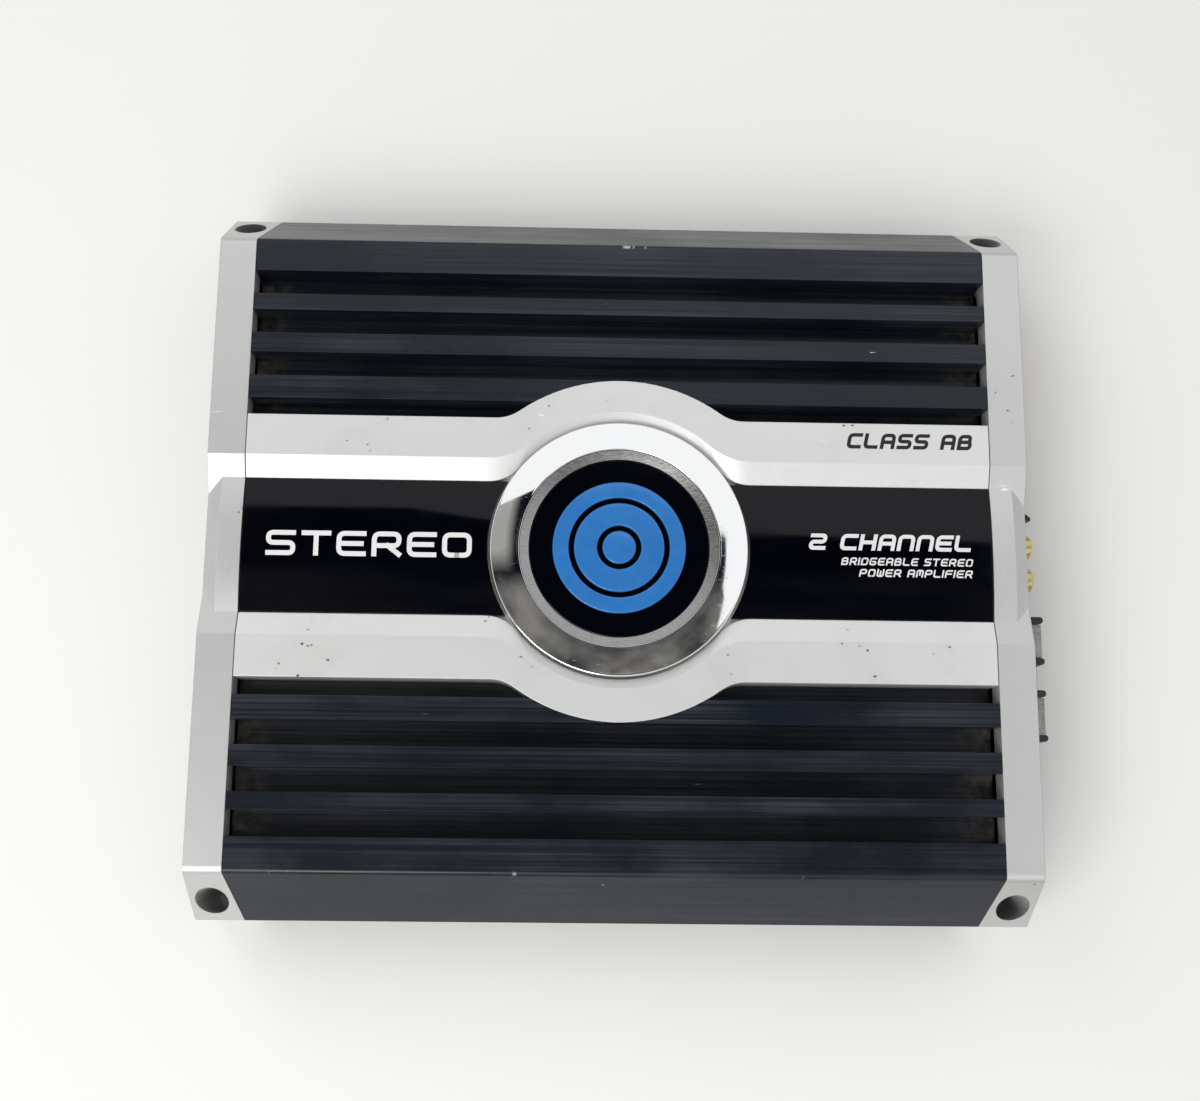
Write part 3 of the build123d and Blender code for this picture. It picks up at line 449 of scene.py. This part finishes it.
blackAnodised = makeAnodised(anodised)
silverPaint = makePaint("silverPaint", paint)
silverCaps = makePaint("silverCaps", capPaint)
glossBlack = makeGloss("glossBlack", gloss)
discBlack = makeGloss("discBlack", dict(gloss, smear=(0.05, 0.10), edge=0.2 * mm, shine=0.5))
dress(blackAnodised, "heatsink")
dress(silverPaint, "trim_cover")
dress(silverCaps, "left_end_cap", "right_end_cap")
dress(glossBlack, "gloss_panel_left", "gloss_panel_right")
print("case finished")


# badge
ring = {
    "inner": 34.45 * mm,
    "outer": 44.6 * mm,
    "seat": 49.6 * mm,
    "fall": 10.6,          # slope of the face, in degrees
    "bow": 0.10 * mm,
    "innerRoll": 0.30 * mm,
    "outerRoll": 0.55 * mm,
    "haze": (0.035, 0.11),
    "hairlines": 0.12,
}
bevel = {"dark": (0.27, 0.27, 0.265), "light": (0.44, 0.44, 0.43), "rough": (0.20, 0.36)}


def makeChromeRing(v):
    # outline: up the inner wall, a rolled inner edge, a face that falls outwards as a slightly
    # bowed cone, a rolled outer edge and the outer wall
    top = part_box("chrome_ring")[1].z - 0.03 * mm
    inRoll, outRoll = v["innerRoll"], v["outerRoll"]
    slope = math.tan(math.radians(v["fall"]))
    innerRoll = arcPoints((v["inner"] + inRoll, top - inRoll), inRoll, 180, 90, 8)
    radius = np.linspace(v["inner"] + inRoll, v["outer"] - outRoll, 26)[1:]
    along = (radius - radius[0]) / (radius[-1] - radius[0])
    height = top - slope * (radius - v["inner"] - inRoll) + v["bow"] * 4 * along * (1 - along)
    face = np.stack([radius, height], -1)
    outerRoll = arcPoints((v["outer"] - outRoll, height[-1] - outRoll), outRoll, 75, 0, 8)
    foot = np.array([[v["outer"], v["seat"]], [v["inner"], v["seat"]]])
    return lathe("chromeRing", np.concatenate([innerRoll, face, outerRoll, foot]))


def makeChrome(v):
    f = Finish("chromePlate")
    f.put("Base Color", (0.93, 0.93, 0.92))
    f.put("Metallic", 1.0)
    haze = f.noise(f.place, 90, 5.0, 0.7)
    hair = f.span(f.noise(f.stretch((260, 2600, 900), (0, 0, 0.7)), 1.0, 3.0, 0.6), 0.66, 0.72)
    hazy = f.span(haze, 0.4, 0.75, *v["haze"])
    f.put("Roughness", f.maths("ADD", hazy, f.maths("MULTIPLY", hair, v["hairlines"])))
    f.relief(hair, 0.01 * mm, 0.3)
    return f.material


def makeBevelSteel(v):
    f = Finish("brushedBevel")
    brushed = f.noise(f.stretch((420, 4200, 900), (0, 0, 0.55)), 1.0, 4.0, 0.65)
    f.put("Base Color", f.blend(f.span(brushed, 0.35, 0.7), v["dark"], v["light"]))
    f.put("Metallic", 1.0)
    f.put("Roughness", f.span(brushed, 0.3, 0.7, *v["rough"]))
    f.relief(brushed, 0.02 * mm, 0.5)
    return f.material


emblem = {
    "rings": ((17.4 * mm, 23.0 * mm), (7.6 * mm, 15.6 * mm)),
    "capRadius": 5.8 * mm,
    "roll": 0.55 * mm,
    "crown": 0.22 * mm,
    "blue": ((0.011, 0.125, 0.385), (0.015, 0.150, 0.43)),
}


def enamelRing(name, inner, outer, low, high, v):
    # a raised enamel band: walls, rolled shoulders and a slightly crowned face
    roll = v["roll"]
    left = arcPoints((inner + roll, high - roll), roll, 180, 90, 8)
    right = arcPoints((outer - roll, high - roll), roll, 90, 0, 8)
    middle = np.linspace(inner + roll, outer - roll, 14)[1:-1]
    bow = 1 - ((middle - (inner + outer) / 2) / ((outer - inner) / 2 - roll)) ** 2
    face = np.stack([middle, high + v["crown"] * bow * 0.3], -1)
    foot = np.array([[outer, low], [inner, low]])
    return lathe(name, np.concatenate([left, face, right, foot]), 160)


def enamelDome(name, radius, low, high, v):
    # the dust cap: a wall, a rolled shoulder and a low dome that closes at the axis
    roll = v["roll"]
    shoulder = arcPoints((radius - roll, high - roll - v["crown"]), roll, 0, 75, 8)
    reach = np.linspace(1, 0, 14)[1:-1]
    rise = shoulder[-1, 1] + (high - shoulder[-1, 1]) * (1 - reach ** 2)
    face = np.stack([shoulder[-1, 0] * reach, rise], -1)
    outline = np.concatenate([[[radius, low]], shoulder, face])
    return closedLathe(name, outline, low, high)


def closedLathe(name, outline, low, high, steps=160):
    # like lathe, but the outline ends at the axis, with one point above and one below
    angle = np.linspace(0, 2 * math.pi, steps, endpoint=False)
    radius, height = outline[:, 0][:, None], outline[:, 1][:, None]
    x, y = radius * np.cos(angle), radius * np.sin(angle)
    points = np.stack([x, y, np.broadcast_to(height, x.shape)], -1).reshape(-1, 3)
    count, rows = len(points), len(outline)
    points = np.concatenate([points, [[0, 0, high], [0, 0, low]]])
    step = np.arange(steps)
    following = (step + 1) % steps
    top = np.stack([(rows - 1) * steps + step, (rows - 1) * steps + following, np.full(steps, count)], -1)
    bottom = np.stack([following, step, np.full(steps, count + 1)], -1)
    faces = gridFaces(rows, steps, wrapCols=True)[:, ::-1].tolist() + top.tolist() + bottom.tolist()
    return meshPiece(name, points, faces)


def makeEnamel(v):
    f = Finish("blueEnamel")
    cloud = f.noise(f.place, 60, 3.0, 0.5)
    f.put("Base Color", f.blend(f.span(cloud, 0.3, 0.7), *v["blue"]))
    f.put("Roughness", f.span(f.noise(f.place, 260, 4.0, 0.6), 0.3, 0.7, 0.20, 0.34))
    f.put("Coat Weight", 0.35)
    f.put("Coat Roughness", 0.08)
    f.relief(cloud, 0.03 * mm, 0.3)
    return f.material


chromePlate = makeChrome(ring)
brushedBevel = makeBevelSteel(bevel)
blueEnamel = makeEnamel(emblem)
place(makeChromeRing(ring), chromePlate, slot="chrome_plate", hides=["chrome_ring"])
dress(brushedBevel, "badge_carrier")
dress(discBlack, "badge_disc")
emblemLow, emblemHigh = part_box("badge_emblem")
flatTop = emblemHigh.z - 0.2 * mm      # the bands stop short of the dome's crown
for index, (inner, outer) in enumerate(emblem["rings"]):
    band = enamelRing(f"enamelBand{index + 1}", inner, outer, emblemLow.z, flatTop, emblem)
    place(band, blueEnamel, slot="blue_enamel")
    if index == 0:
        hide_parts("badge_emblem")
dome = enamelDome("enamelCap", emblem["capRadius"], emblemLow.z, emblemHigh.z, emblem)
place(dome, blueEnamel, slot="blue_enamel")
print("badge finished")


# everything at the connector end and inside
finishes = {
    "plateBlack": dict(base=(0.016, 0.016, 0.018), rough=0.5, grain=1500, nodes=["bottom_plate"]),
    "panelBlack": dict(base=(0.012, 0.012, 0.013), rough=0.42, grain=1500, nodes=["connector_panel"]),
    "blackScrews": dict(base=(0.02, 0.02, 0.022), rough=0.36, metal=0.6,
                        nodes=["bottom_plate_screws", "end_cap_screws", "panel_screws"]),
    "zincScrews": dict(base=(0.60, 0.60, 0.57), rough=0.34, metal=1.0,
                       nodes=["trim_screws", "clamp_bar_screws", "board_screws"]),
    "goldPlate": dict(base=(0.74, 0.60, 0.25), rough=0.24, metal=1.0, tint=0.3,
                      nodes=["rca_shells", "rca_contacts"]),
    "mouldedBlack": dict(base=(0.022, 0.022, 0.024), rough=0.5, nodes=[
        "rca_block", "power_block", "speaker_block", "fuse_holder"]),
    "potHousing": dict(base=(0.03, 0.045, 0.07), rough=0.5, nodes=["potentiometers", "switch_body"]),
    "leverBlack": dict(base=(0.015, 0.015, 0.016), rough=0.4, nodes=["switch_lever"]),
    "knobBlack": dict(base=(0.02, 0.02, 0.022), rough=0.38,
                      nodes=["low_pass_knob", "bass_knob", "gain_knob"]),
    "boardGreen": dict(base=(0.012, 0.105, 0.035), rough=0.35, nodes=["circuit_board"]),
    "fishPaper": dict(base=(0.20, 0.21, 0.20), rough=0.7,
                      nodes=["insulating_sheet", "transistor_insulators"]),
    "ferrite": dict(base=(0.07, 0.07, 0.075), rough=0.6, nodes=["toroid_core"]),
    "copperWire": dict(base=(0.62, 0.24, 0.09), rough=0.3, metal=0.9,
                       nodes=["toroid_winding", "output_inductors"]),
    "capacitorSleeve": dict(base=(0.012, 0.018, 0.05), rough=0.28, nodes=["supply_capacitors"]),
    "chipBlack": dict(base=(0.016, 0.016, 0.016), rough=0.55, nodes=["power_transistors", "control_chips"]),
    "plainAluminium": dict(base=(0.62, 0.63, 0.64), rough=0.36, metal=1.0, nodes=["transistor_clamp_bars"]),
    "lampGreen": dict(base=(0.05, 0.55, 0.12), rough=0.12, nodes=["power_lamp"]),
    "lampRed": dict(base=(0.60, 0.03, 0.02), rough=0.12, nodes=["protect_lamp"]),
    "fuseAmber": dict(base=(0.80, 0.42, 0.02), rough=0.2, nodes=["fuse_a", "fuse_b"]),
    "tinnedBlades": dict(base=(0.62, 0.62, 0.60), rough=0.3, metal=1.0,
                         nodes=["fuse_a_blades", "fuse_b_blades"]),
}
toroid = {
    "turns": 62,
    "wire": 0.62 * mm,         # radius of the wire
    "bore": 11.0 * mm,         # inner radius of the core
    "standOff": 1.15,          # from the core to the wire's centre line, in wire radii
    "corner": 0.45,            # below 1 the loop is squarer
    "stepsPerTurn": 24,
    "around": 8,
}


def woundRing(name, centre, inner, outer, low, high, v):
    # a wire wound round a ring: its centre line runs over a rounded rectangle (inner..outer, low..high)
    # once per turn while the turns go round the ring; the wire is a tube along that line, closed on itself
    count = v["turns"] * v["stepsPerTurn"]
    t = np.arange(count) / count
    section = 2 * math.pi * v["turns"] * t
    # superellipse: cos and sin pushed outwards give the rounded rectangle
    c, s = np.cos(section), np.sin(section)
    radius = (inner + outer) / 2 + (outer - inner) / 2 * np.sign(c) * np.abs(c) ** v["corner"]
    height = (low + high) / 2 + (high - low) / 2 * np.sign(s) * np.abs(s) ** v["corner"]
    turn = 2 * math.pi * t
    line = np.stack([centre[0] + radius * np.cos(turn), centre[1] + radius * np.sin(turn), height], -1)
    along = np.roll(line, -1, 0) - np.roll(line, 1, 0)
    along /= np.linalg.norm(along, axis=1)[:, None]
    tangent = np.stack([-np.sin(turn), np.cos(turn), np.zeros(count)], -1)
    side = tangent - along * (tangent * along).sum(1)[:, None]
    side /= np.linalg.norm(side, axis=1)[:, None]
    lift = np.cross(along, side)
    a = 2 * math.pi * np.arange(v["around"]) / v["around"]
    around = side[:, None] * np.cos(a)[None, :, None] + lift[:, None] * np.sin(a)[None, :, None]
    faces = gridFaces(count, v["around"], wrapRows=True, wrapCols=True)
    return meshPiece(name, line[:, None] + v["wire"] * around, faces[:, ::-1])


clamps = [n for n in nodes if n.endswith("_clamp")]
screws = [n for n in nodes if n.endswith("_screw")]
finishes["terminalNickel"] = dict(base=(0.46, 0.45, 0.41), rough=0.42, metal=0.9, tint=0.5, grain=700,
                                  nodes=clamps)
finishes["terminalScrews"] = dict(base=(0.60, 0.59, 0.56), rough=0.32, metal=1.0, nodes=screws)
made = {}
for name, settings in finishes.items():
    members = settings.pop("nodes")
    made[name] = plainFinish(name, **settings)
    dress(made[name], *members)
coreLow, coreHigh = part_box("toroid_core")
middle = ((coreLow.x + coreHigh.x) / 2, (coreLow.y + coreHigh.y) / 2)
off = toroid["wire"] * toroid["standOff"]
rim = (coreHigh.x - coreLow.x) / 2
winding = woundRing("toroidWire", middle, toroid["bore"] - off, rim + off,
                    coreLow.z - off, coreHigh.z + off, toroid)
place(winding, made["copperWire"], slot="copper_wire", hides=["toroid_winding"])
print("connector end and electronics finished")


# printed words
# each letter is a few strokes in a box one wide and one high, squared with rounded corners
letters = {
    "A": (((0, 0), (0, 1), (1, 1), (1, 0)), ((0, 0.42), (1, 0.42))),
    "B": (((0, 0), (1, 0), (1, 0.52), (0, 0.52)), ((0.92, 0.52), (0.92, 1), (0, 1), (0, 0))),
    "C": (((1, 1), (0, 1), (0, 0), (1, 0)),),
    "D": (((0, 0), (0, 1), (1, 1), (1, 0), (0, 0)),),
    "E": (((1, 1), (0, 1), (0, 0), (1, 0)), ((0, 0.5), (0.9, 0.5))),
    "F": (((1, 1), (0, 1), (0, 0)), ((0, 0.5), (0.9, 0.5))),
    "G": (((1, 1), (0, 1), (0, 0), (1, 0), (1, 0.48), (0.5, 0.48)),),
    "H": (((0, 0), (0, 1)), ((1, 0), (1, 1)), ((0, 0.5), (1, 0.5))),
    "I": (((0, 0), (0, 1)),),
    "K": (((0, 0), (0, 1)), ((1, 1), (0.3, 0.5), (1, 0)), ((0, 0.5), (0.3, 0.5))),
    "L": (((0, 1), (0, 0), (1, 0)),),
    "M": (((0, 0), (0, 1), (1, 1), (1, 0)), ((0.5, 1), (0.5, 0.3))),
    "N": (((0, 0), (0, 1), (1, 1), (1, 0)),),
    "O": (((0.5, 0), (0, 0), (0, 1), (1, 1), (1, 0), (0.5, 0)),),
    "P": (((0, 0), (0, 1), (1, 1), (1, 0.42), (0, 0.42)),),
    "R": (((0, 0), (0, 1), (1, 1), (1, 0.42), (0, 0.42)), ((0.55, 0.42), (1, 0))),
    "S": (((1, 1), (0, 1), (0, 0.5), (1, 0.5), (1, 0), (0, 0)),),
    "T": (((0, 1), (1, 1)), ((0.5, 1), (0.5, 0))),
    "U": (((0, 1), (0, 0), (1, 0), (1, 1)),),
    "V": (((0, 1), (0.5, 0), (1, 1)),),
    "W": (((0, 1), (0, 0), (1, 0), (1, 1)), ((0.5, 0), (0.5, 0.75))),
    "X": (((0, 0), (1, 1)), ((0, 1), (1, 0))),
    "1": (((0.3, 1), (0.6, 1), (0.6, 0)),),
    "2": (((0, 1), (1, 1), (1, 0.5), (0, 0.5), (0, 0), (1, 0)),),
    "+": (((0, 0.5), (1, 0.5)), ((0.5, 0.05), (0.5, 0.95))),
    "-": (((0, 0.5), (1, 0.5)),),
}
narrow = {"I": 0.0, "1": 0.6, "+": 0.8, "-": 0.7}
strokeStep = 0.6                          # points this close along a stroke, in mm
ink = {"lift": 0.04, "step": 0.003}       # height over the surface, and from stroke to stroke, in mm
insertCrown = 2.0 * mm                    # how far the inserts' tops fall from the middle to the edge


def roundedStroke(corners, radius):
    # a polyline whose inner corners are replaced by short curves
    corners = np.asarray(corners, float)
    out = [corners[:1]]
    for before, here, after in zip(corners, corners[1:], corners[2:]):
        a, b = before - here, after - here
        la, lb = np.hypot(*a), np.hypot(*b)
        cut = min(radius, 0.49 * la, 0.49 * lb)
        start, end = here + a / la * cut, here + b / lb * cut
        t = np.linspace(0, 1, 7)[:, None]
        out.append((1 - t) ** 2 * start + 2 * t * (1 - t) * here + t ** 2 * end)
    out.append(corners[-1:])
    path = np.concatenate(out)
    # more points along the straight parts, so that a stroke follows a curved surface
    length = np.concatenate([[0], np.cumsum(np.hypot(*np.diff(path, axis=0).T))])
    extra = np.arange(strokeStep, length[-1], strokeStep)
    extra = extra[np.abs(extra[:, None] - length).min(1) > strokeStep / 5]
    along = np.sort(np.concatenate([length, extra]))
    return np.stack([np.interp(along, length, path[:, 0]), np.interp(along, length, path[:, 1])], -1)


def ribbon(path, half):
    # both sides of a stroke: each point moved along its mitre by half the stroke's width
    step = np.diff(path, axis=0)
    step /= np.hypot(step[:, 0], step[:, 1])[:, None] + 1e-12
    before = np.concatenate([step[:1], step])
    after = np.concatenate([step, step[-1:]])
    normal = np.stack([-(before + after)[:, 1], (before + after)[:, 0]], -1)
    normal /= np.hypot(normal[:, 0], normal[:, 1])[:, None] + 1e-12
    cosine = np.clip((normal * np.stack([-before[:, 1], before[:, 0]], -1)).sum(1), 0.5, 1)
    side = normal * (half / cosine)[:, None]
    ends = np.zeros_like(path)
    ends[0], ends[-1] = -step[0] * half, step[-1] * half
    return np.stack([path + ends + side, path + ends - side], 1)


def wordShape(words, height, letterWidth, gap, weight, slant):
    # flat strips for every stroke of every letter, set from left to right; the last value is the length
    strips, x = [], 0.0
    inset = weight / 2
    for letter in words:
        if letter == " ":
            x += letterWidth * 0.7
            continue
        wide = narrow.get(letter, 1.0) * (letterWidth - weight)
        for stroke in letters[letter]:
            corners = np.array(stroke) * (wide, height - weight) + (x + inset, inset)
            strips.append(ribbon(roundedStroke(corners, height * 0.24), inset))
        x += wide + weight + gap
    length = x - gap
    for strip in strips:
        strip[..., 0] += strip[..., 1] * slant
    return strips, length


def layStrips(name, strips, toPlace):
    points, faces, base = [], [], 0
    for level, strip in enumerate(strips):
        points.append(toPlace(strip.reshape(-1, 2), level))
        faces.append(gridFaces(len(strip), 2) + base)
        base += strip.shape[0] * 2
    return meshPiece(name, np.concatenate(points), np.concatenate(faces)[:, ::-1], smooth=False)


whiteInk = plainFinish("whiteInk", (0.66, 0.66, 0.645), 0.45, grain=2200, tint=0.08, depth=0.004, edge=0.0)
blackInk = plainFinish("blackInk", (0.006, 0.006, 0.009), 0.4, grain=2200, tint=0.3, depth=0.004, edge=0.0)
prints = [
    # x of the left end, or of the right end, of the base line, its y, and the size of the letters in mm
    dict(name="wordStereo", words="STEREO", left=-121.5, y=-4.0, height=8.8, wide=10.2, gap=1.9,
         weight=1.7, slant=0.0),
    dict(name="wordChannels", words="2 CHANNEL", right=123.4, y=0.6, height=5.8, wide=5.9, gap=0.75,
         weight=1.35, slant=0.22),
    dict(name="wordLineA", words="BRIDGEABLE STEREO", right=123.2, y=-4.6, height=2.7, wide=2.4, gap=0.5,
         weight=0.55, slant=0.22),
    dict(name="wordLineB", words="POWER AMPLIFIER", right=123.0, y=-8.6, height=2.7, wide=2.5, gap=0.5,
         weight=0.55, slant=0.22),
    dict(name="wordBand", words="CLASS AB", right=124.6, y=36.8, height=5.6, wide=5.1, gap=0.8, weight=1.3,
         slant=0.22, ink="black"),
]


def panelHeight(y):
    # top of the crowned insert, or of the flat band beyond it, at each distance y from the middle
    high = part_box("gloss_panel_right")[1]
    return np.where(np.abs(y) < high.y, high.z - insertCrown * (y / high.y) ** 2, caseTop)


def makeWord(v):
    strips, length = wordShape(v["words"], v["height"], v["wide"], v["gap"], v["weight"], v["slant"])
    left = v["left"] if "left" in v else v["right"] - length - v["slant"] * v["height"]

    def onTop(flat, level):
        # strokes that cross lie a hair apart in height
        x, y = (flat[:, 0] + left) * mm, (flat[:, 1] + v["y"]) * mm
        return np.stack([x, y, panelHeight(y) + (ink["lift"] + ink["step"] * (level % 4)) * mm], -1)

    return layStrips(v["name"], strips, onTop)


for entry in prints:
    black = entry.get("ink") == "black"
    place(makeWord(entry), blackInk if black else whiteInk, slot="silver_paint" if black else "gloss_black")


panelWords = [
    # words, y of their middle, z of their base line, letter height in mm
    ("LPF", 30.5, 36.0, 1.9), ("BASS", 43.5, 36.0, 1.9), ("GAIN", 56.5, 36.0, 1.9),
    ("X-OVER", 18.6, 36.4, 1.5), ("LINE IN", 1.5, 36.6, 1.9), ("R", -4.6, 18.2, 1.7), ("L", 7.6, 18.2, 1.7),
    ("PWR", 67.0, 36.0, 1.6), ("PROT", 67.0, 18.2, 1.6),
    ("GND", -27.8, 38.2, 1.9), ("REM", -40.8, 38.2, 1.9), ("+12V", -54.4, 38.2, 1.9),
    ("L+", -69.9, 36.0, 1.7), ("L-", -76.9, 36.0, 1.7), ("R-", -83.9, 36.0, 1.7), ("R+", -90.9, 36.0, 1.7),
    ("SPEAKER OUT", -80.4, 39.6, 1.6),
]


def makePanelWords(words):
    strips, face = [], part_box("connector_panel")[1].x
    for text, y, z, height in words:
        part, length = wordShape(text, height, height * 0.95, height * 0.26, height * 0.19, 0.0)
        strips += [strip + (y - length / 2, z) for strip in part]

    def onPanel(flat, level):
        depth = np.full(len(flat), face + (0.75 * ink["lift"] + ink["step"] * (level % 4)) * mm)
        return np.stack([depth, flat[:, 0] * mm, flat[:, 1] * mm], -1)

    return layStrips("panelWords", strips, onPanel)


place(makePanelWords(panelWords), whiteInk, slot="panel_black")
print("printed words finished")
